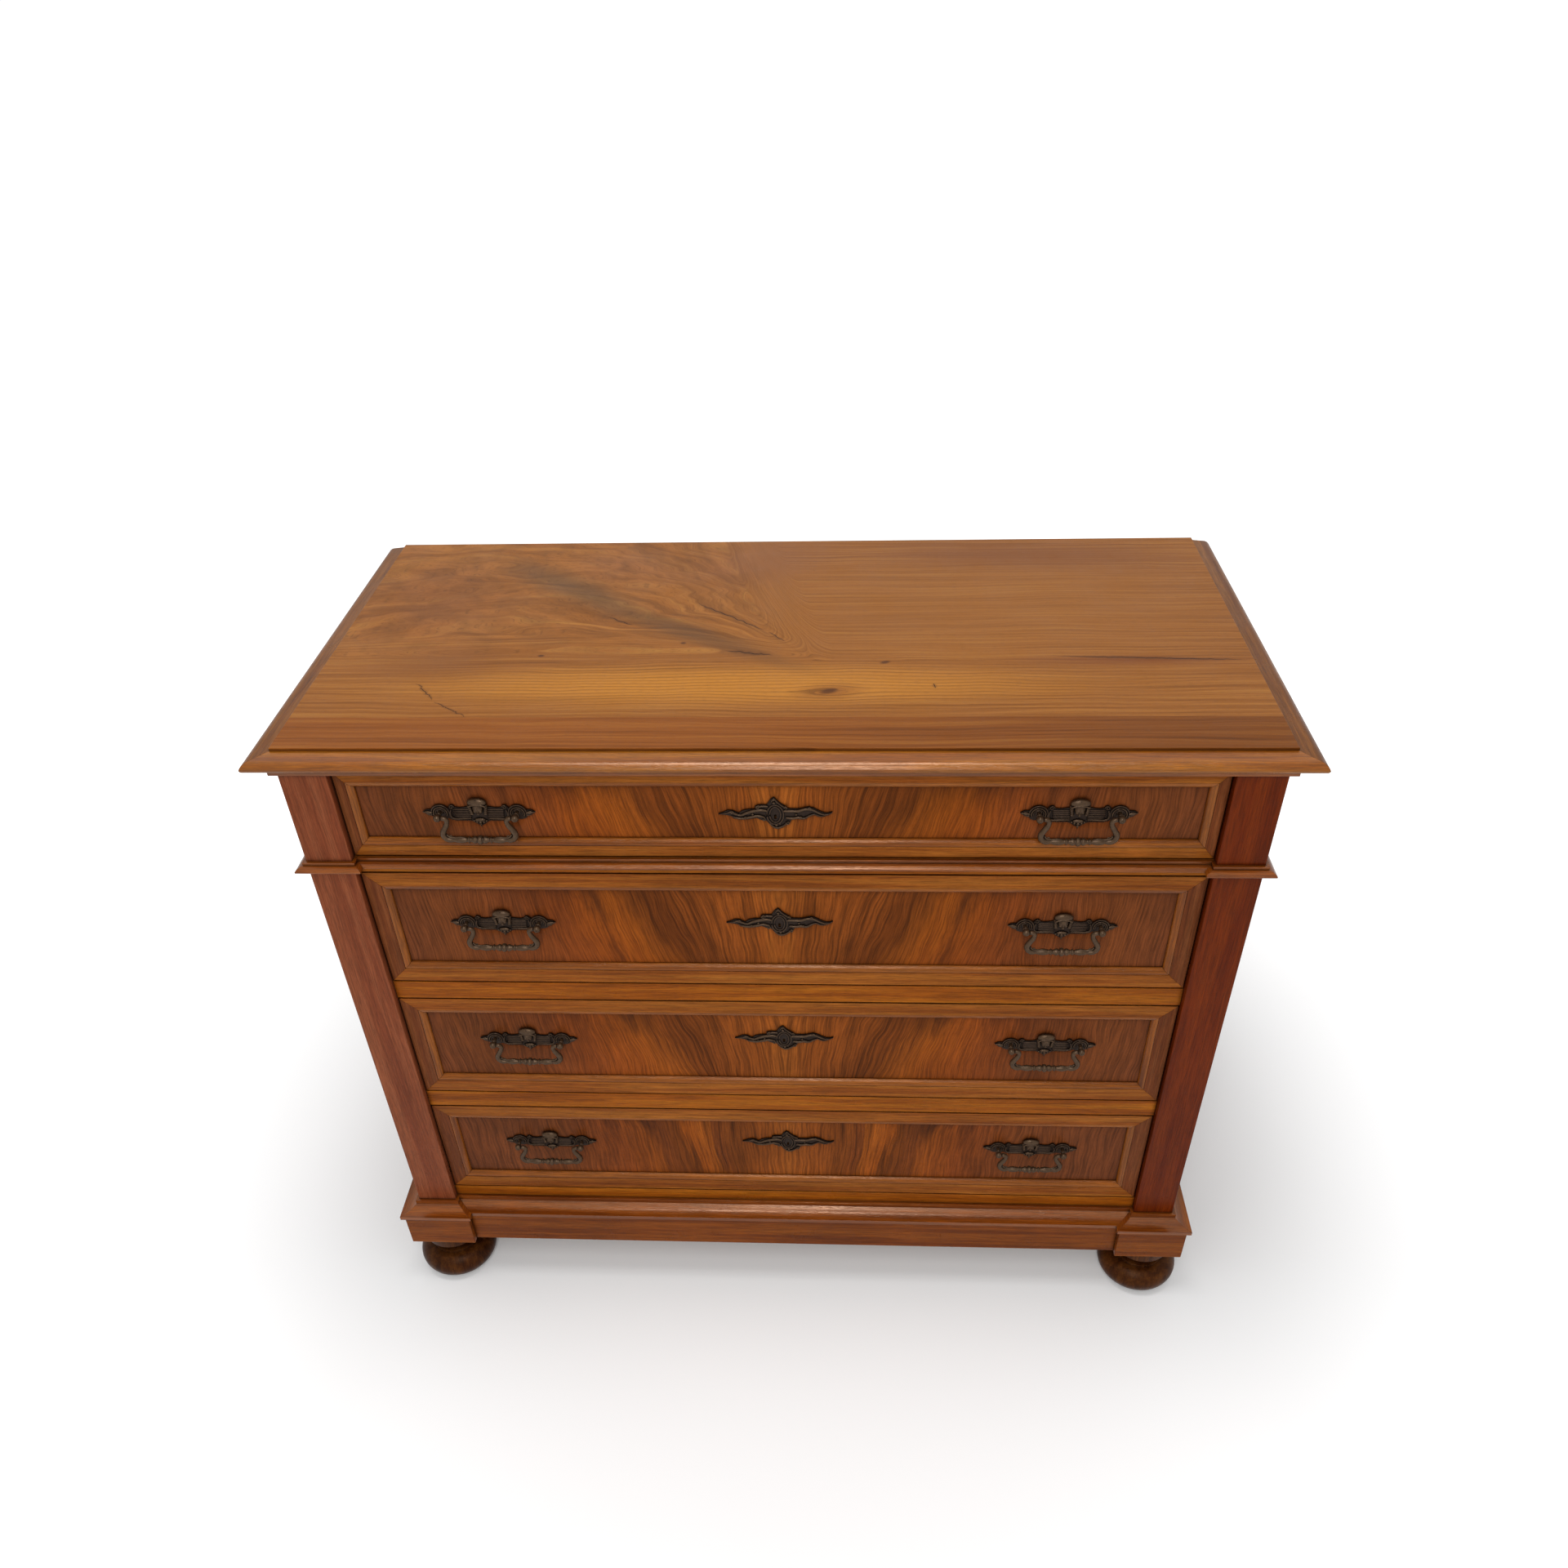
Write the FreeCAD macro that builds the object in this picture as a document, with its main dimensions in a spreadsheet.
import FreeCAD, Part
import os
import re
import Sketcher

# A walnut commode with four drawers, front pilasters, broken mouldings and bun feet.
# X runs along the front, the front faces -Y, +Z is up and the origin is on the floor
# below the middle of the piece. All sizes are millimetres.

doc = FreeCAD.newDocument("commode")
sheet = doc.addObject("Spreadsheet::Sheet", "Sizes")

driving = {
    # top
    "top_width": 1200.0,
    "top_height": 958.0,
    "top_thickness": 17.0,
    "top_rear_overhang": 8.0,
    "top_edge_width": 27.5,
    "top_edge_height": 13.5,
    "top_slope_width": 17.5,
    "top_slope_fall": 1.7,
    "top_nose_height": 4.5,
    "top_nose_round": 11.0,
    "top_under_round": 4.5,
    "top_front_overhang": 9.0,
    "bed_height": 5.5,
    "bed_front": 4.0,
    "bed_side": 9.0,
    "top_rail_lip": 2.0,
    # case
    "top_side_overhang": 38.0,
    "pilaster_width": 56.0,
    "pilaster_projection": 10.0,
    "front_post_depth": 60.0,
    "rear_post_width": 56.0,
    "rear_post_depth": 85.0,
    "case_depth": 560.0,
    "back_thickness": 8.0,
    "back_inset": 4.0,
    "top_side_rail": 70.0,
    "middle_side_rail": 60.0,
    "bottom_side_rail": 90.0,
    "side_frame_thickness": 22.0,
    "side_panel_thickness": 9.0,
    "side_panel_recess": 7.0,
    "rail_depth": 62.0,
    "lower_rail_height": 29.0,
    "upper_rail_height": 23.5,
    "bottom_rail_height": 100.0,
    "runner_height": 22.0,
    "runner_overlap": 30.0,
    "guide_height": 16.0,
    "dust_board_thickness": 6.0,
    # waist moulding
    "waist_width": 12.0,
    "waist_height": 10.5,
    "waist_lip": 2.3,
    "waist_round": 9.0,
    "waist_fillet_width": 4.0,
    "waist_fillet_height": 3.3,
    "waist_quirk": 0.8,
    # plinth
    "plinth_board": 21.0,
    "plinth_face_height": 60.0,
    "plinth_edge_width": 25.7,
    "plinth_edge_height": 20.0,
    "plinth_lip": 7.0,
    "plinth_round": 14.0,
    "plinth_slope_height": 13.0,
    "plinth_fillet_width": 4.5,
    "plinth_quirk": 0.8,
    # bun feet
    "foot_height": 87.0,
    "foot_inset": 48.5,
    "bun_height": 44.0,
    "bun_flat": 36.5,
    "foot_ring_height": 3.0,
    "foot_throat": 29.0,
    "foot_throat_height": 20.0,
    "foot_throat_round": 13.0,
    "foot_pad": 44.0,
    "tenon_radius": 12.0,
    "tenon_length": 36.0,
    # drawers
    "upper_drawer_height": 118.0,
    "gap_above": 2.0,
    "gap_below": 2.0,
    "gap_side": 1.5,
    "slide_clearance": 0.4,
    "drawer_depth": 520.0,
    "front_thickness": 15.0,
    "facing_thickness": 7.0,
    "lower_stile": 20.5,
    "lower_member": 20.5,
    "upper_stile": 12.0,
    "upper_member": 14.3,
    "bead_width": 8.5,
    "bead_height": 6.4,
    "bead_edge": 1.2,
    "bead_round": 8.0,
    "side_thickness": 12.0,
    "side_drop": 8.0,
    "drawer_bottom_rise": 9.0,
    "drawer_bottom_thickness": 6.0,
    # handles
    "handle_inset": 161.0,
    "plate_length": 132.0,
    "plate_thickness": 2.4,
    "plate_drop": 2.0,
    "bar_half_height": 8.0,
    "bar_half_length": 36.0,
    "post_half": 45.5,
    "post_reach": 16.0,
    "post_radius": 2.6,
    "knob_radius": 5.0,
    "hood_radius": 10.5,
    "mask_radius": 11.5,
    "mask_crown": 8.0,
    "mask_rise": 9.5,
    "mask_relief": 6.0,
    "pin_radius": 1.5,
    "pin_clearance": 0.06,
    "pin_depth": 3.5,
    "bail_rod": 2.2,
    "bail_neck": 4.0,
    "bail_arm": 1.5,
    "bail_flare": 12.0,
    "bail_flare_angle": 30.0,
    "bail_flare_run": 10.0,
    "bail_corner": 8.0,
    "baluster_radius": 3.8,
    "baluster_end": 2.7,
    "baluster_half": 9.0,
    # escutcheons and locks
    "escutcheon_length": 132.0,
    "escutcheon_thickness": 2.4,
    "escutcheon_rise": 22.0,
    "escutcheon_drop": 22.0,
    "shield_half": 13.0,
    "shield_shoulder": 10.0,
    "arm_half_height": 5.0,
    "arm_taper": 18.0,
    "keyhole_radius": 3.0,
    "keyhole_slot": 2.8,
    "keyhole_length": 8.5,
    "lock_width": 46.0,
    "lock_below_keyhole": 18.0,
    "lock_chamber_below_keyhole": 12.0,
    "lock_thickness": 9.0,
    "lock_wall": 1.8,
    "bolt_width": 16.0,
    "bolt_thickness": 5.0,
    "bolt_above_keyhole": 9.0,
    "bolt_clearance": 0.3,
    "mortise_clearance": 1.5,
    "mortise_height": 9.0,
    # places of the handles and keyholes above the middle of each drawer
    "handle_rise_one": 1.5,
    "handle_rise_two": 8.5,
    "handle_rise_three": 12.5,
    "handle_rise_four": 12.0,
    "keyhole_rise_one": 0.0,
    "keyhole_rise_two": 11.0,
    "keyhole_rise_three": 19.0,
    "keyhole_rise_four": 18.0,
}

# levels and planes that follow from the driving sizes
derived = {
    "top_underside": "top_height - top_thickness",
    "top_rear_reach": "case_depth + top_rear_overhang",
    "post_outer": "top_width / 2 - top_side_overhang",
    "opening_half": "post_outer - pilaster_width",
    "handle_centre": "opening_half - handle_inset",
    "foot_front_reach": "pilaster_projection + plinth_board - foot_inset + bun_flat + bun_height / 2",
    "front": "(foot_front_reach - top_rear_reach) / 2",
    "pilaster_face": "front - pilaster_projection",
    "rear": "front + case_depth",
    "top_rear": "front + top_rear_reach",
    "top_nose": "pilaster_face - top_front_overhang",
    "post_back": "pilaster_face + front_post_depth",
    "rear_post_front": "rear - rear_post_depth",
    "back_plane": "rear - back_inset - back_thickness",
    "foot_across": "post_outer + plinth_board - foot_inset",
    "foot_front_line": "pilaster_face - plinth_board + foot_inset",
    "foot_rear_line": "top_rear - bun_flat - bun_height / 2",
    "rail_four_top": "foot_height + bottom_rail_height",
    "drawer_one_top": "top_underside - bed_height - top_rail_lip - gap_above",
    "drawer_one_base": "drawer_one_top - upper_drawer_height",
    "rail_one_top": "drawer_one_base - gap_below",
    "rail_one_base": "rail_one_top - upper_rail_height",
    "lower_openings": "rail_one_base - rail_four_top - 2 * lower_rail_height",
    "lower_drawer_height": "lower_openings / 3 - gap_above - gap_below",
    "drawer_two_top": "rail_one_base - gap_above",
    "drawer_two_base": "drawer_two_top - lower_drawer_height",
    "rail_two_top": "drawer_two_base - gap_below",
    "rail_two_base": "rail_two_top - lower_rail_height",
    "drawer_three_top": "rail_two_base - gap_above",
    "drawer_three_base": "drawer_three_top - lower_drawer_height",
    "rail_three_top": "drawer_three_base - gap_below",
    "rail_three_base": "rail_three_top - lower_rail_height",
    "drawer_four_top": "rail_three_base - gap_above",
    "drawer_four_base": "drawer_four_top - lower_drawer_height",
    "panel_plane": "front + facing_thickness",
    "board_back": "panel_plane + front_thickness",
    "pivot_plane": "panel_plane - post_reach",
    "lock_plane": "board_back - lock_thickness",
}


def fill_sheet():
    row = 1
    for alias, size in driving.items():
        sheet.set("A%d" % row, alias)
        sheet.set("B%d" % row, str(size))
        sheet.setAlias("B%d" % row, alias)
        row += 1
    for alias, formula in derived.items():
        sheet.set("A%d" % row, alias)
        sheet.set("B%d" % row, "=" + formula)
        sheet.setAlias("B%d" % row, alias)
        row += 1
    doc.recompute()


def bound(formula):
    # a formula on the sheet's aliases, written so that any object can read it
    return re.sub(r"[a-z_]\w*", lambda word: "Sizes." + word.group()
                  if word.group() in driving or word.group() in derived else word.group(), formula)


def value(formula):
    return float(sheet.evalExpression(bound(formula)))


def place(piece, x, y, z, rotation=None):
    # the piece's own origin goes to three formulas
    if rotation is not None:
        piece.Placement = FreeCAD.Placement(FreeCAD.Vector(), rotation)
    for axis, formula in zip("xyz", (x, y, z)):
        piece.setExpression("Placement.Base." + axis, bound(formula))
    return piece


def board(label, low, high):
    # a squared board between two corners, each given as three formulas
    box = doc.addObject("Part::Box", label)
    for size, start, end in zip(("Length", "Width", "Height"), low, high):
        box.setExpression(size, bound("(%s) - (%s)" % (end, start)))
    return place(box, *low)


def paired(side, inner, outer):
    # the span from inner to outer on the right (side 1) or mirrored to the left (side -1)
    if side > 0:
        return inner, outer
    return "-(%s)" % outer, "-(%s)" % inner


def group(label, members):
    compound = doc.addObject("Part::Compound", label)
    compound.Links = members
    return compound


def cut(label, base, tool):
    result = doc.addObject("Part::Cut", label)
    result.Base = base
    result.Tool = tool
    return result


def fuse(label, members):
    result = doc.addObject("Part::MultiFuse", label)
    result.Shapes = members
    result.Refine = True
    return result


def origin_plane(body, role):
    for feature in body.Origin.OriginFeatures:
        if feature.Role == role:
            return feature


def arc_between(start, end, radius):
    # an arc from start to end; a positive radius bulges to the right of the way there
    chord = end - start
    middle = (start + end) * 0.5
    right = FreeCAD.Vector(chord.y, -chord.x, 0).normalize()
    reach = max(radius * radius - chord.Length * chord.Length / 4, 0) ** 0.5
    rise = abs(radius) - reach
    if radius < 0:
        rise = -rise
    return Part.Arc(start, middle + right * rise, end)


def outline(body, label, role, corners, arcs, closed=True):
    # a sketch through corners given as pairs of formulas; arcs names the stretches that are
    # round, as {corner index: (radius formula, side)}
    sketch = body.newObject("Sketcher::SketchObject", label)
    sketch.AttachmentSupport = [(origin_plane(body, role), "")]
    sketch.MapMode = "FlatFace"
    points = [FreeCAD.Vector(value(x), value(y), 0) for x, y in corners]
    count = len(points) if closed else len(points) - 1
    ends = []
    for index in range(count):
        start = points[index]
        end = points[(index + 1) % len(points)]
        if index in arcs:
            radius, side = arcs[index]
            arc = arc_between(start, end, side * value(radius))
            edge = sketch.addGeometry(arc, False)
            forward = sketch.getPoint(edge, 1).distanceToPoint(start) < 1e-6
            ends.append((edge, 1, 2) if forward else (edge, 2, 1))
            rule = sketch.addConstraint(Sketcher.Constraint("Radius", edge, value(radius)))
            sketch.setExpression("Constraints[%d]" % rule, bound(radius))
        else:
            edge = sketch.addGeometry(Part.LineSegment(start, end), False)
            ends.append((edge, 1, 2))
    for index in range(count - 1 if not closed else count):
        edge, _, last = ends[index]
        following, first, _ = ends[(index + 1) % count]
        sketch.addConstraint(Sketcher.Constraint("Coincident", edge, last, following, first))
    places = [(ends[index][0], ends[index][1]) for index in range(count)]
    if not closed:
        places.append((ends[-1][0], ends[-1][2]))
    for (edge, point), corner in zip(places, corners):
        for kind, formula in zip(("DistanceX", "DistanceY"), corner):
            rule = sketch.addConstraint(
                Sketcher.Constraint(kind, -1, 1, edge, point, value(formula)))
            sketch.setExpression("Constraints[%d]" % rule, bound(formula))
    return sketch


def padded(label, role, corners, arcs, depth, reverse=False):
    body = doc.addObject("PartDesign::Body", label)
    pad = body.newObject("PartDesign::Pad", label + "_pad")
    pad.Profile = outline(body, label + "_outline", role, corners, arcs)
    pad.setExpression("Length", bound(depth))
    pad.Reversed = reverse
    return body


SQUARE = None
cuts = []


def mitred_run(label, section, arcs, length, start, end, width):
    # a length of moulding along local X: its section lies in Y (0 is the nose) and Z. A mitre
    # is how far it draws one edge in, and which: the back for an outer corner of the case, the
    # nose for an inner one. SQUARE ends have none.
    body = doc.addObject("PartDesign::Body", label)
    solid = body.newObject("PartDesign::Pad", label + "_run")
    solid.Profile = outline(body, label + "_section", "YZ_Plane", section, arcs)
    solid.setExpression("Length", bound(length))
    for name, at, mitre, sense in (("start", "0", start, ""), ("end", length, end, "-")):
        if mitre == SQUARE:
            continue
        reach, edge = mitre
        drawn_in = "%s %s (%s)" % (at, sense or "+", reach)
        triangle = [(at, "0"), (at, width), (drawn_in, edge)]
        pocket = body.newObject("PartDesign::Pocket", "%s_%s" % (label, name))
        pocket.Profile = outline(body, "%s_%s_line" % (label, name), "XY_Plane", triangle, {})
        pocket.Type = "ThroughAll"
        pocket.Reversed = True
        cuts.append((solid, pocket))
        solid = pocket
    return body


def about_z(angle):
    return FreeCAD.Rotation(FreeCAD.Vector(0, 0, 1), angle)


def upright(angle):
    # stands a run up in the plane of the front, then turns it there
    face = FreeCAD.Rotation(FreeCAD.Vector(1, 0, 0), 90)
    return FreeCAD.Rotation(FreeCAD.Vector(0, -1, 0), angle) * face


def mitred_ring(label, half, base, top, back, section, arcs, stile, member):
    # four mitred members round the rectangle from -half to half and from base to top
    across = "2 * (%s)" % half
    up = "(%s) - (%s)" % (top, base)
    flat = (stile, member)
    tall = (member, stile)
    low = mitred_run(label + "_low", section(member), arcs, across, flat, flat, member)
    high = mitred_run(label + "_high", section(member), arcs, across, flat, flat, member)
    left = mitred_run(label + "_left", section(stile), arcs, up, tall, tall, stile)
    right = mitred_run(label + "_right", section(stile), arcs, up, tall, tall, stile)
    place(low, "-(%s)" % half, back, base, upright(0))
    place(right, half, back, base, upright(90))
    place(high, half, back, top, upright(180))
    place(left, "-(%s)" % half, back, top, upright(270))
    return [low, high, left, right]


def broken_moulding(name, section, arcs, width, base):
    # a moulding that runs along each side, breaks forward over each pilaster and returns
    # to the front between them, where it is set back
    nose = "pilaster_face - %s" % width
    outer = "post_outer + %s" % width
    inner = "opening_half - %s" % width
    outer_corner = (width, width)
    inner_corner = (width, "0")
    side_length = "rear - (%s)" % nose
    return_length = "front - (%s)" % nose

    def run(label, length, start, end, x, y, turn):
        piece = mitred_run("%s_%s" % (name, label), section, arcs, length, start, end, width)
        return place(piece, x, y, base, about_z(turn))

    over_length = "pilaster_width + 2 * %s" % width
    left = [
        run("left_front", over_length, outer_corner, outer_corner, "-(%s)" % outer, nose, 0),
        run("left_side", side_length, SQUARE, outer_corner, "-(%s)" % outer, "rear", -90),
        run("left_return", return_length, outer_corner, inner_corner, "-(%s)" % inner, nose, 90),
    ]
    right = [
        run("right_front", over_length, outer_corner, outer_corner, inner, nose, 0),
        run("right_side", side_length, outer_corner, SQUARE, outer, nose, 90),
        run("right_return", return_length, inner_corner, outer_corner, inner, "front", -90),
    ]
    centre = run("centre", "2 * opening_half", inner_corner, inner_corner,
                 "-opening_half", "front - %s" % width, 0)
    return [centre, group(name + "_left", left), group(name + "_right", right)]


def top_pieces():
    panel_half = "top_width / 2 - top_edge_width"
    panel = board("top_panel",
                  ("-(%s)" % panel_half, "top_nose + top_edge_width", "top_underside"),
                  (panel_half, "top_rear", "top_height"))
    section = [
        ("top_edge_width", "0"),
        ("top_edge_width", "top_edge_height"),
        ("top_edge_width - top_slope_width", "top_edge_height - top_slope_fall"),
        ("0", "top_nose_height"),
        ("top_under_round", "0"),
    ]
    arcs = {2: ("top_nose_round", 1), 3: ("top_under_round", 1)}
    width = "top_edge_width"
    corner = (width, width)
    front = mitred_run("top_moulding_front", section, arcs, "top_width", corner, corner, width)
    place(front, "-top_width / 2", "top_nose", "top_underside")
    run = "top_rear - top_nose"
    left = mitred_run("top_edge_left", section, arcs, run, SQUARE, corner, width)
    place(left, "-top_width / 2", "top_rear", "top_underside", about_z(-90))
    right = mitred_run("top_edge_right", section, arcs, run, corner, SQUARE, width)
    place(right, "top_width / 2", "top_nose", "top_underside", about_z(90))
    bed_low = "top_underside - bed_height"
    bed = [board("bed_front",
                 ("-(post_outer + bed_side)", "pilaster_face - bed_front", bed_low),
                 ("post_outer + bed_side", "pilaster_face", "top_underside"))]
    for side, word in ((-1, "left"), (1, "right")):
        low, high = paired(side, "post_outer", "post_outer + bed_side")
        bed.append(board("bed_" + word, (low, "pilaster_face", bed_low),
                         (high, "rear", "top_underside")))
    return [panel, front, group("top_moulding_sides", [left, right]), group("bed_moulding", bed)]


def post_with_bore(label, side, inner, outer, front_plane, back_plane, line):
    low, high = paired(side, inner, outer)
    post = board(label + "_timber", (low, front_plane, "foot_height"),
                 (high, back_plane, "top_underside"))
    bore = doc.addObject("Part::Cylinder", label + "_bore")
    bore.setExpression("Radius", bound("tenon_radius + slide_clearance / 4"))
    bore.setExpression("Height", bound("tenon_length + slide_clearance"))
    across = "foot_across" if side > 0 else "-foot_across"
    place(bore, across, line, "foot_height")
    return cut(label, post, bore)


def posts():
    made = []
    rear = []
    for side, word in ((-1, "left"), (1, "right")):
        made.append(post_with_bore("front_post_" + word, side, "opening_half", "post_outer",
                                   "pilaster_face", "post_back", "foot_front_line"))
        rear.append(post_with_bore("rear_post_" + word, side, "post_outer - rear_post_width",
                                   "post_outer", "rear_post_front", "rear", "foot_rear_line"))
    made.append(group("rear_posts", rear))
    return made


def case_sides():
    # each side has a small panel above the waist and a tall one below it
    inner = "post_outer - side_frame_thickness"
    middle_top = "rail_one_top + middle_side_rail / 2"
    middle_base = "rail_one_top - middle_side_rail / 2"
    top_base = "top_underside - top_side_rail"
    bottom_top = "foot_height + plinth_face_height + bottom_side_rail"
    levels = {
        "top": (top_base, "top_underside"),
        "middle": (middle_base, middle_top),
        "bottom": ("foot_height", bottom_top),
    }
    rails = []
    panels = []
    for side, word in ((-1, "left"), (1, "right")):
        low, high = paired(side, inner, "post_outer")
        for level, (base, top) in levels.items():
            rails.append(board("side_rail_%s_%s" % (level, word), (low, "post_back", base),
                               (high, "rear_post_front", top)))
        face = "post_outer - side_panel_recess"
        low, high = paired(side, face + " - side_panel_thickness", face)
        pair = []
        for level, base, top in (("upper", middle_top, top_base), ("lower", bottom_top, middle_base)):
            pair.append(board("%s_panel_%s" % (level, word), (low, "post_back", base),
                              (high, "rear_post_front", top)))
        panels.append(group("side_panel_" + word, pair))
    return [group("side_rails", rails)] + panels


def lock_mortise(label, rail, base, height):
    # a slot in the underside of a rail, where the bolt of the drawer below goes in
    half = "bolt_width / 2 + mortise_clearance"
    bolt_plane = "lock_plane + lock_wall + bolt_clearance"
    slot = board(label + "_mortise",
                 ("-(%s)" % half, bolt_plane + " - mortise_clearance", base),
                 (half, bolt_plane + " + bolt_thickness + mortise_clearance",
                  "%s + (%s)" % (base, height)))
    return cut(label, rail, slot)


def rails():
    half = "opening_half"
    back = "front + rail_depth"
    head = board("top_rail_timber", ("-opening_half", "pilaster_face", "top_underside - bed_height"),
                 (half, back, "top_underside"))
    # the drawer's gap above is left by the rail's own underside
    head_base = "drawer_one_top + gap_above"
    lip = board("top_rail_lip", ("-opening_half", "front", head_base),
                (half, back, "top_underside - bed_height"))
    top_rail = lock_mortise("top_rail", fuse("top_rail_blank", [head, lip]), head_base,
                            "top_rail_lip + bed_height")
    dividers = []
    for word in ("one", "two", "three"):
        base = "rail_%s_base" % word
        rail = board("divider_%s_timber" % word, ("-opening_half", "front", base),
                     (half, back, "rail_%s_top" % word))
        dividers.append(lock_mortise("divider_" + word, rail, base, "mortise_height"))
    bottom = board("bottom_rail", ("-opening_half", "front", "foot_height"),
                   (half, "front + plinth_board", "rail_four_top"))
    return [top_rail, group("divider_rails", dividers), bottom]


def runners_and_dust_boards():
    # an L-shaped runner and guide on each side under every drawer, and a board between them
    runners = []
    boards = []
    side_inner = "post_outer - side_frame_thickness"
    for word in ("one", "two", "three", "four"):
        top = "rail_%s_top" % word
        start = "post_back" if word != "four" else "front + plinth_board"
        for side, hand in ((-1, "left"), (1, "right")):
            low, high = paired(side, "opening_half - runner_overlap", "opening_half")
            bearer_front = "front + rail_depth" if word != "four" else "front + plinth_board"
            runners.append(board("runner_%s_%s" % (word, hand),
                                 (low, bearer_front, top + " - runner_height"),
                                 (high, "back_plane", top)))
            low, high = paired(side, "opening_half", side_inner)
            runners.append(board("guide_%s_%s" % (word, hand),
                                 (low, "post_back", top + " - runner_height"),
                                 (high, "rear_post_front", top + " + guide_height")))
        middle = top + " - runner_height / 2"
        board_front = "front + rail_depth" if word != "four" else "front + plinth_board"
        boards.append(board("dust_board_" + word,
                            ("-(opening_half - runner_overlap)", board_front, middle),
                            ("opening_half - runner_overlap", "back_plane",
                             middle + " + dust_board_thickness")))
    return [group("drawer_runners", runners), group("dust_boards", boards)]


def back():
    return [board("back_panel",
                  ("-(post_outer - rear_post_width)", "back_plane", "foot_height + plinth_face_height"),
                  ("post_outer - rear_post_width", "back_plane + back_thickness", "top_underside"))]


def plinth():
    face_top = "foot_height + plinth_face_height"
    block_inner = "opening_half - plinth_board"
    centre = board("plinth_centre", ("-(%s)" % block_inner, "front - plinth_board", "foot_height"),
                   (block_inner, "front", face_top))
    returns = []
    for side, word in ((-1, "left"), (1, "right")):
        low, high = paired(side, block_inner, "post_outer + plinth_board")
        block_face = board("block_face_" + word,
                           (low, "pilaster_face - plinth_board", "foot_height"),
                           (high, "pilaster_face", face_top))
        low, high = paired(side, block_inner, "opening_half")
        block_back = board("block_back_" + word, (low, "pilaster_face", "foot_height"),
                           (high, "front", face_top))
        returns.append(fuse("plinth_block_" + word, [block_face, block_back]))
        low, high = paired(side, "post_outer", "post_outer + plinth_board")
        returns.append(board("plinth_side_" + word, (low, "pilaster_face", "foot_height"),
                             (high, "rear", face_top)))
    section = [
        ("plinth_edge_width", "0"),
        ("plinth_edge_width", "plinth_edge_height"),
        ("plinth_edge_width - plinth_fillet_width", "plinth_edge_height"),
        ("plinth_edge_width - plinth_fillet_width", "plinth_slope_height + plinth_quirk"),
        ("plinth_edge_width - plinth_fillet_width", "plinth_slope_height"),
        ("0", "plinth_lip"),
        ("0", "plinth_quirk"),
        ("plinth_quirk", "0"),
    ]
    moulding = broken_moulding("plinth_moulding", section, {4: ("plinth_round * 2", -1)},
                               "plinth_edge_width", face_top)
    return [centre, group("plinth_returns", returns), group("plinth_moulding", moulding)]


def waist():
    section = [
        ("waist_width", "0"),
        ("waist_width", "waist_height"),
        ("waist_width - waist_fillet_width", "waist_height"),
        ("waist_width - waist_fillet_width", "waist_height - waist_fillet_height"),
        ("waist_width - waist_fillet_width + waist_quirk", "waist_height - waist_fillet_height"),
        ("waist_width - waist_fillet_width + waist_quirk",
         "waist_height - waist_fillet_height - waist_quirk"),
        ("waist_width - waist_fillet_width",
         "waist_height - waist_fillet_height - waist_quirk"),
        ("0", "waist_lip"),
        ("0", "waist_quirk"),
        ("waist_quirk", "0"),
    ]
    return broken_moulding("waist_moulding", section, {6: ("waist_round", 1)},
                           "waist_width", "rail_one_top - waist_height")


def foot(label, across, line):
    # a flattened bun, a thin ring, a hollow throat and a pad, turned in one with its tenon
    ring_top = "bun_height + foot_ring_height"
    throat_top = "%s + foot_throat_height" % ring_top
    body = doc.addObject("PartDesign::Body", label)
    corners = [
        ("0", "0"),
        ("bun_flat", "0"),
        ("bun_flat + bun_height / 2", "bun_height / 2"),
        ("bun_flat", "bun_height"),
        ("bun_flat", ring_top),
        ("foot_throat", ring_top),
        ("foot_throat", throat_top),
        ("foot_pad", throat_top),
        ("foot_pad", "foot_height"),
        ("tenon_radius", "foot_height"),
        ("tenon_radius", "foot_height + tenon_length"),
        ("0", "foot_height + tenon_length"),
    ]
    half_round = ("bun_height / 2", 1)
    arcs = {1: half_round, 2: half_round, 5: ("foot_throat_round", -1)}
    turned = body.newObject("PartDesign::Revolution", label + "_turning")
    turned.Profile = outline(body, label + "_outline", "XZ_Plane", corners, arcs)
    turned.ReferenceAxis = (turned.Profile[0], ["V_Axis"])
    turned.Angle = 360
    return place(body, across, line, "0")


def feet():
    made = []
    for word, line in (("front", "foot_front_line"), ("rear", "foot_rear_line")):
        pair = [foot("%s_foot_left" % word, "-foot_across", line),
                foot("%s_foot_right" % word, "foot_across", line)]
        made.append(group(word + "_feet", pair))
    return made


def keyhole_tool(label, level, near, far):
    # a round hole with a slot below it, from the near plane back to the far one
    pin = doc.addObject("Part::Cylinder", label + "_round")
    pin.setExpression("Radius", bound("keyhole_radius"))
    pin.setExpression("Height", bound("(%s) - (%s)" % (far, near)))
    place(pin, "0", far, level, FreeCAD.Rotation(FreeCAD.Vector(1, 0, 0), 90))
    slot = board(label + "_slot", ("-keyhole_slot / 2", near, "%s - keyhole_length" % level),
                 ("keyhole_slot / 2", far, level))
    return fuse(label, [pin, slot])


def drawer_front(name, base, top, keyhole, half):
    # a solid front, veneered on its face, with a recess for the lock let into its back
    blank = board(name + "_blank", ("-(%s)" % half, "panel_plane", base),
                  (half, "board_back", top))
    recess = board(name + "_recess",
                   ("-lock_width / 2", "lock_plane", "%s - lock_below_keyhole" % keyhole),
                   ("lock_width / 2", "board_back", top))
    recessed = cut(name + "_recessed", blank, recess)
    hole = keyhole_tool(name + "_front_keyhole", keyhole, "panel_plane", "lock_plane")
    return cut(name + "_front", recessed, hole)


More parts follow.
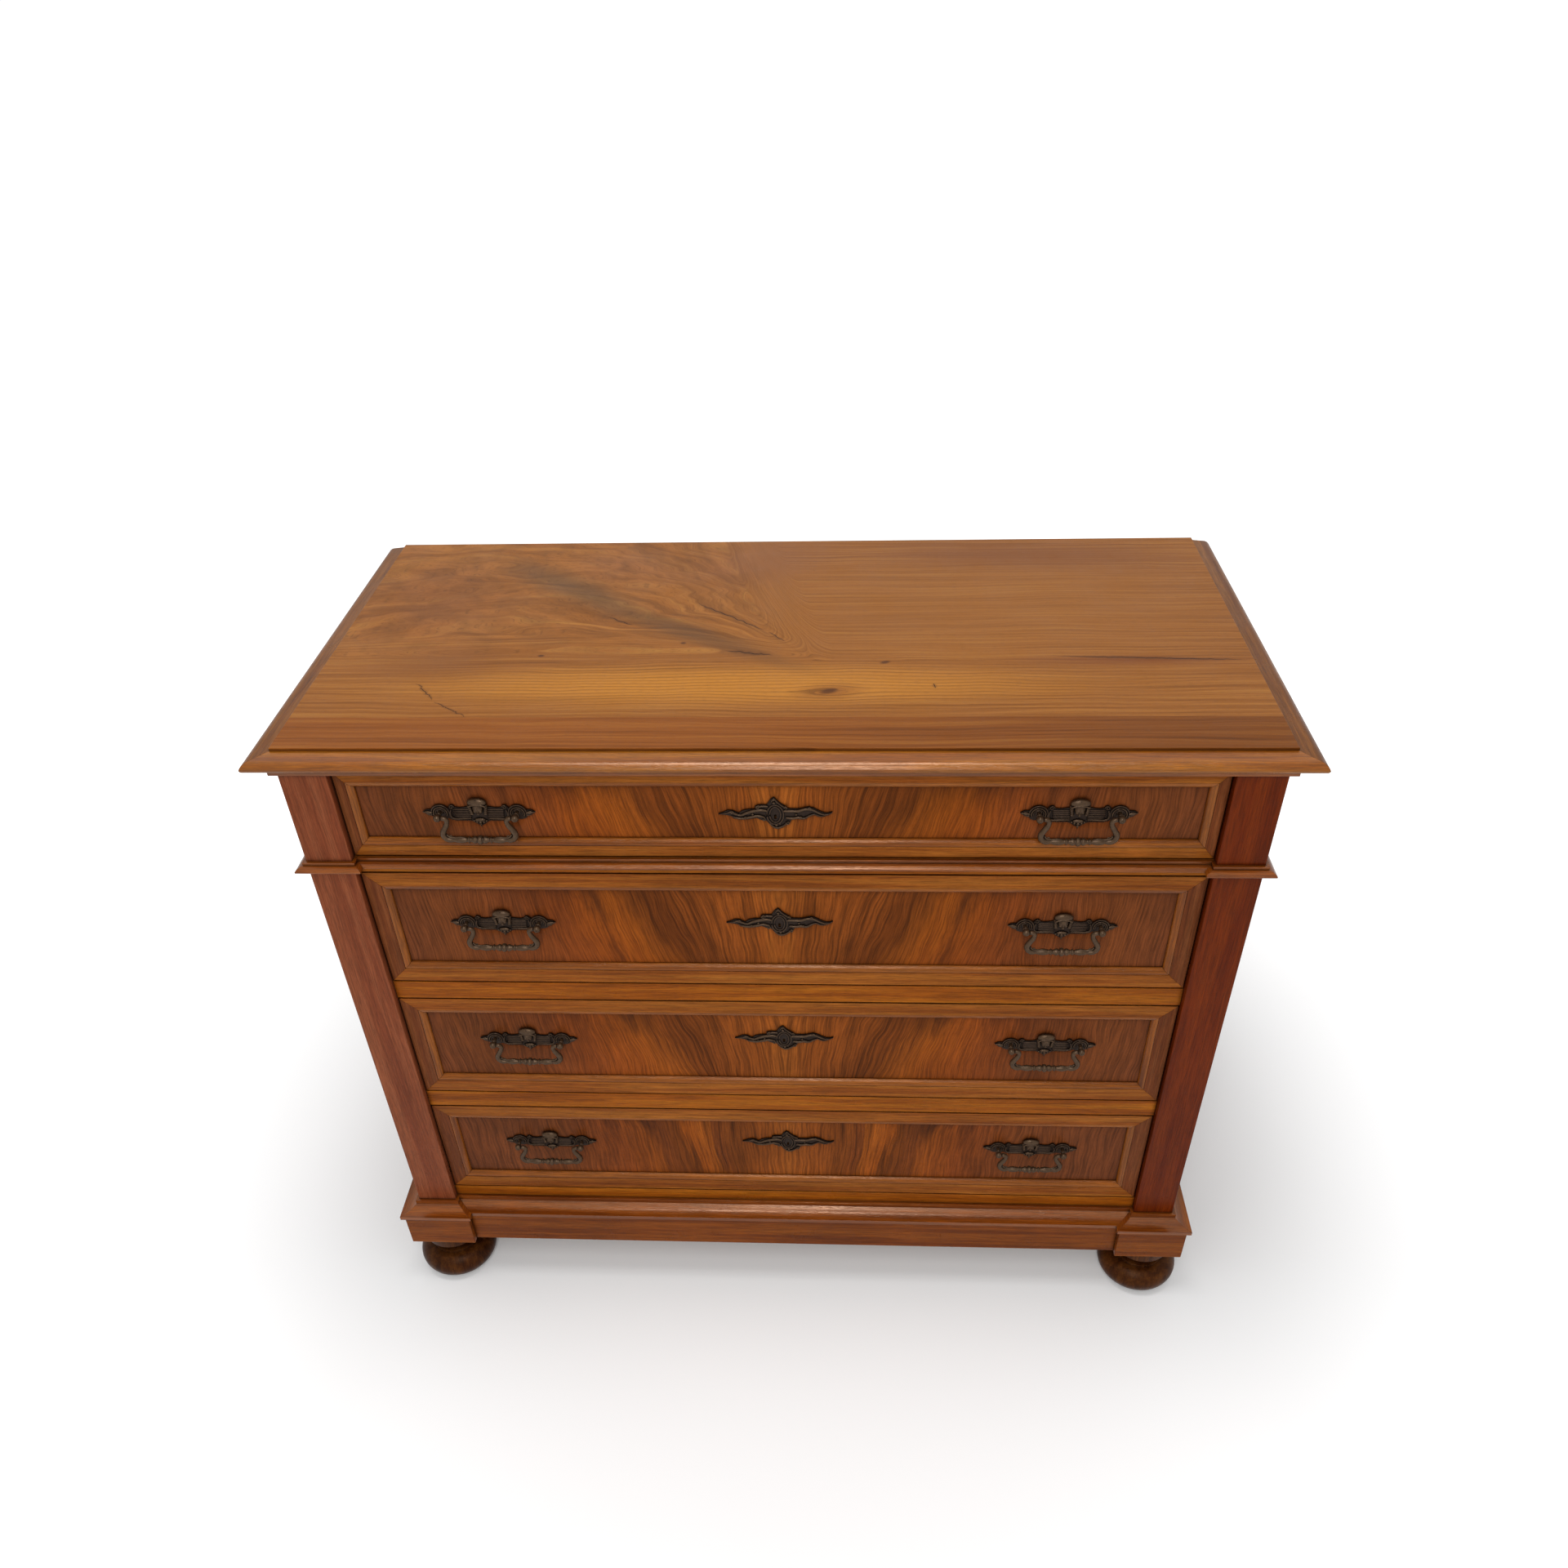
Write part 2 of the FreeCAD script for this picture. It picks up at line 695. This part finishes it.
def drawer_frame(name, base, top, half, stile, member):
    def square(width):
        return [("0", "0"), (width, "0"), (width, "facing_thickness"), ("0", "facing_thickness")]

    def ovolo(width):
        return [("0", "0"), (width, "0"), (width, "bead_edge"), ("0", "bead_height")]

    facing = mitred_ring(name + "_facing", half, base, top, "panel_plane", square, {},
                         stile, member)
    inner_half = "%s - %s" % (half, stile)
    bead = mitred_ring(name + "_bead", inner_half, "%s + %s" % (base, member),
                       "%s - (%s)" % (top, member), "panel_plane", ovolo,
                       {2: ("bead_round", 1)}, "bead_width", "bead_width")
    return group(name + "_frame", facing + bead)


def drawer_box(name, base, top, half):
    side_base = "%s - gap_below + slide_clearance" % base
    side_top = "%s - side_drop" % top
    back_end = "front + drawer_depth"
    inner = "%s - side_thickness" % half
    floor = "%s + drawer_bottom_rise" % side_base
    pieces = []
    for side, word in ((-1, "left"), (1, "right")):
        low, high = paired(side, inner, half)
        pieces.append(board("%s_side_%s" % (name, word), (low, "board_back", side_base),
                            (high, back_end, side_top)))
    pieces.append(board(name + "_bottom", ("-(%s)" % inner, "board_back", floor),
                        (inner, back_end, "%s + drawer_bottom_thickness" % floor)))
    pieces.append(board(name + "_back",
                        ("-(%s)" % inner, "%s - side_thickness" % back_end,
                         "%s + drawer_bottom_thickness" % floor),
                        (inner, back_end, side_top)))
    return group(name + "_box", pieces)


def post_and_knob(label, centre, offset, level):
    # a pillar from the panel with a ball on its end, bored from the inner side for the bail's pin
    across = "%s + %s * post_half" % (centre, offset)
    pillar = doc.addObject("Part::Cylinder", label + "_pillar")
    pillar.setExpression("Radius", bound("post_radius"))
    pillar.setExpression("Height", bound("post_reach"))
    place(pillar, across, "panel_plane", level, FreeCAD.Rotation(FreeCAD.Vector(1, 0, 0), 90))
    ball = doc.addObject("Part::Sphere", label + "_ball")
    ball.setExpression("Radius", bound("knob_radius"))
    place(ball, across, "pivot_plane", level)
    bore = doc.addObject("Part::Cylinder", label + "_bore")
    bore.setExpression("Radius", bound("pin_radius + pin_clearance"))
    bore.setExpression("Height", bound("knob_radius + pin_clearance"))
    turn = FreeCAD.Rotation(FreeCAD.Vector(0, 1, 0), -90 * offset)
    shift = "(%s) + %s * (knob_radius - pin_depth - pin_clearance)" % (across, -offset)
    place(bore, shift, "pivot_plane", level, turn)
    return [pillar, ball], bore


def handle_plate(label, centre, level):
    # a tapered bar with a disc behind each post and a raised boss for the mask
    half = "plate_length / 2"
    corners = [
        (half, "0"),
        ("bar_half_length", "bar_half_height"),
        ("-bar_half_length", "bar_half_height"),
        ("-%s" % half, "0"),
        ("-bar_half_length", "-bar_half_height"),
        ("bar_half_length", "-bar_half_height"),
    ]
    bar = padded(label + "_bar", "XZ_Plane", corners, {}, "plate_thickness")
    plate_level = "%s - plate_drop" % level
    place(bar, centre, "panel_plane", plate_level)
    facing = FreeCAD.Rotation(FreeCAD.Vector(1, 0, 0), 90)
    boss = doc.addObject("Part::Cone", label + "_boss")
    boss.setExpression("Radius1", bound("mask_radius"))
    boss.setExpression("Radius2", bound("mask_crown"))
    boss.setExpression("Height", bound("mask_relief"))
    place(boss, centre, "panel_plane", "%s + mask_rise" % level, facing)
    solids = [bar, boss]
    bores = []
    for offset, word in ((-1, "left"), (1, "right")):
        disc = doc.addObject("Part::Cylinder", "%s_disc_%s" % (label, word))
        disc.setExpression("Radius", bound("hood_radius"))
        disc.setExpression("Height", bound("plate_thickness"))
        place(disc, "%s + %s * post_half" % (centre, offset), "panel_plane", plate_level, facing)
        post, bore = post_and_knob("%s_%s" % (label, word), centre, offset, level)
        solids += [disc] + post
        bores.append(bore)
    return cut(label, fuse(label + "_cast", solids), fuse(label + "_bores", bores))


def bail(label, centre, level):
    # a bent rod: its arms come in from the knobs, turn down, flare out and meet in a bar
    arm_x = "post_half - knob_radius - bail_arm"
    neck_x = "post_half - knob_radius - bail_arm - bail_neck"
    angle = "bail_flare_angle * 1deg"
    flare_x = "%s + bail_flare * (1 - cos(%s))" % (neck_x, angle)
    flare_z = "-bail_neck - bail_flare * sin(%s)" % angle
    run_x = "%s + bail_flare_run * sin(%s)" % (flare_x, angle)
    run_z = "%s - bail_flare_run * cos(%s)" % (flare_z, angle)
    bar_x = "%s - bail_corner * cos(%s)" % (run_x, angle)
    bar_z = "%s - bail_corner * sin(%s) - bail_corner" % (run_z, angle)
    right = [
        ("post_half - knob_radius", "0"),
        (arm_x, "0"),
        (neck_x, "-bail_neck"),
        (flare_x, flare_z),
        (run_x, run_z),
        (bar_x, bar_z),
    ]
    left = [("-(%s)" % x, z) for x, z in right]
    arcs = {
        1: ("bail_neck", -1),
        2: ("bail_flare", -1),
        4: ("bail_corner", 1),
        6: ("bail_corner", 1),
        8: ("bail_flare", -1),
        9: ("bail_neck", -1),
    }
    body = doc.addObject("PartDesign::Body", label + "_rod")
    path = outline(body, label + "_path", "XZ_Plane", left + right[::-1], arcs, closed=False)
    section = body.newObject("Sketcher::SketchObject", label + "_section")
    section.AttachmentSupport = [(origin_plane(body, "YZ_Plane"), "")]
    section.MapMode = "FlatFace"
    section.setExpression("AttachmentOffset.Base.z", bound("knob_radius - post_half"))
    circle = Part.Circle(FreeCAD.Vector(), FreeCAD.Vector(0, 0, 1), value("bail_rod"))
    section.addGeometry(circle, False)
    section.addConstraint(Sketcher.Constraint("Coincident", 0, 3, -1, 1))
    section.addConstraint(Sketcher.Constraint("Radius", 0, value("bail_rod")))
    section.setExpression("Constraints[1]", bound("bail_rod"))
    rod = body.newObject("PartDesign::AdditivePipe", label + "_sweep")
    rod.Profile = section
    rod.Spine = (path, ["Edge%d" % (index + 1) for index in range(11)])
    place(body, centre, "pivot_plane", level)
    pieces = [body]
    for offset, word in ((-1, "left"), (1, "right")):
        pin = doc.addObject("Part::Cylinder", "%s_pin_%s" % (label, word))
        pin.setExpression("Radius", bound("pin_radius"))
        pin.setExpression("Height", bound("pin_depth"))
        turn = FreeCAD.Rotation(FreeCAD.Vector(0, 1, 0), 90 * offset)
        place(pin, "%s + %s * (post_half - knob_radius)" % (centre, offset), "pivot_plane", level, turn)
        swelling = doc.addObject("Part::Cone", "%s_baluster_%s" % (label, word))
        swelling.setExpression("Radius1", bound("baluster_radius"))
        swelling.setExpression("Radius2", bound("baluster_end"))
        swelling.setExpression("Height", bound("baluster_half"))
        place(swelling, centre, "pivot_plane", "(%s) + (%s)" % (level, bar_z), turn)
        pieces += [pin, swelling]
    return fuse(label, pieces)


def escutcheon(name, level):
    half = "escutcheon_length / 2"
    right = [
        ("0", "escutcheon_rise"),
        ("shield_half", "shield_shoulder"),
        ("shield_half", "arm_half_height"),
        ("%s - arm_taper" % half, "arm_half_height"),
        (half, "0"),
        ("%s - arm_taper" % half, "-arm_half_height"),
        ("shield_half", "-arm_half_height"),
        ("shield_half", "-shield_shoulder"),
        ("0", "-escutcheon_drop"),
    ]
    left = [("-(%s)" % x, z) for x, z in reversed(right[1:-1])]
    plate = padded(name + "_escutcheon_plate", "XZ_Plane", right + left, {},
                   "escutcheon_thickness")
    place(plate, "0", "panel_plane", level)
    hole = keyhole_tool(name + "_escutcheon_hole", level, "panel_plane - escutcheon_thickness",
                        "panel_plane")
    return cut(name + "_escutcheon", plate, hole)


def lock(name, top, keyhole):
    # a flat case let into the front; its bolt fills a channel that is open at the top and
    # ends above the key's chamber
    case = board(name + "_lock_case",
                 ("-lock_width / 2", "lock_plane", "%s - lock_below_keyhole" % keyhole),
                 ("lock_width / 2", "board_back", top))
    half = "bolt_width / 2 + bolt_clearance"
    near = "lock_plane + lock_wall"
    far = near + " + bolt_thickness + 2 * bolt_clearance"
    channel = board(name + "_lock_channel",
                    ("-(%s)" % half, near, "%s - lock_chamber_below_keyhole" % keyhole),
                    (half, far, top))
    hollow = cut(name + "_lock_hollow", case, channel)
    hole = keyhole_tool(name + "_lock_keyhole", keyhole, "lock_plane", near)
    made = cut(name + "_lock", hollow, hole)
    bolt_near = near + " + bolt_clearance"
    bolt = board(name + "_bolt",
                 ("-bolt_width / 2", bolt_near, "%s + bolt_above_keyhole" % keyhole),
                 ("bolt_width / 2", bolt_near + " + bolt_thickness", top))
    return [made, bolt]


def drawer(number, word):
    name = "drawer_%d" % number
    base = "drawer_%s_base" % word
    top = "drawer_%s_top" % word
    size = "upper" if number == 1 else "lower"
    half = "opening_half - gap_side"
    middle = "(%s + %s) / 2" % (base, top)
    handle_level = "%s + handle_rise_%s" % (middle, word)
    keyhole = "%s + keyhole_rise_%s" % (middle, word)
    pieces = [
        drawer_front(name, base, top, keyhole, half),
        drawer_frame(name, base, top, half, size + "_stile", size + "_member"),
        drawer_box(name, base, top, half),
        escutcheon(name, keyhole),
    ]
    pieces += lock(name, top, keyhole)
    plates = []
    for side, hand in ((-1, "left"), (1, "right")):
        centre = "handle_centre" if side > 0 else "-handle_centre"
        plates.append(handle_plate("%s_plate_%s" % (name, hand), centre, handle_level))
        pieces.append(bail("%s_bail_%s" % (name, hand), centre, handle_level))
    pieces.append(group(name + "_handle_plates", plates))
    return pieces


def check(nodes):
    faults = [item.Label for item in doc.Objects
              if "Invalid" in item.State or "Error" in item.State]
    if faults:
        raise RuntimeError("failed objects: " + ", ".join(faults))
    for before, after in cuts:
        if not after.Shape.Volume < before.Shape.Volume - 1e-3:
            raise RuntimeError(after.Label + " cut nothing")
    for node in nodes:
        if node.Shape.isNull() or not node.Shape.isValid() or not node.Shape.Solids:
            raise RuntimeError("bad shape: " + node.Label)


def write(nodes):
    os.makedirs("parts", exist_ok=True)
    for node in nodes:
        node.Shape.exportStep(os.path.join("parts", node.Label + ".step"))
        box = node.Shape.BoundBox
        print("%-26s %2d solids  x %.1f..%.1f  y %.1f..%.1f  z %.1f..%.1f" % (
            node.Label, len(node.Shape.Solids), box.XMin, box.XMax, box.YMin, box.YMax,
            box.ZMin, box.ZMax))


fill_sheet()
nodes = top_pieces() + posts() + case_sides() + rails() + runners_and_dust_boards() + back()
nodes += plinth() + waist() + feet()
for number, word in enumerate(("one", "two", "three", "four"), 1):
    nodes += drawer(number, word)
doc.recompute()
check(nodes)
write(nodes)
print(len(nodes), "nodes")
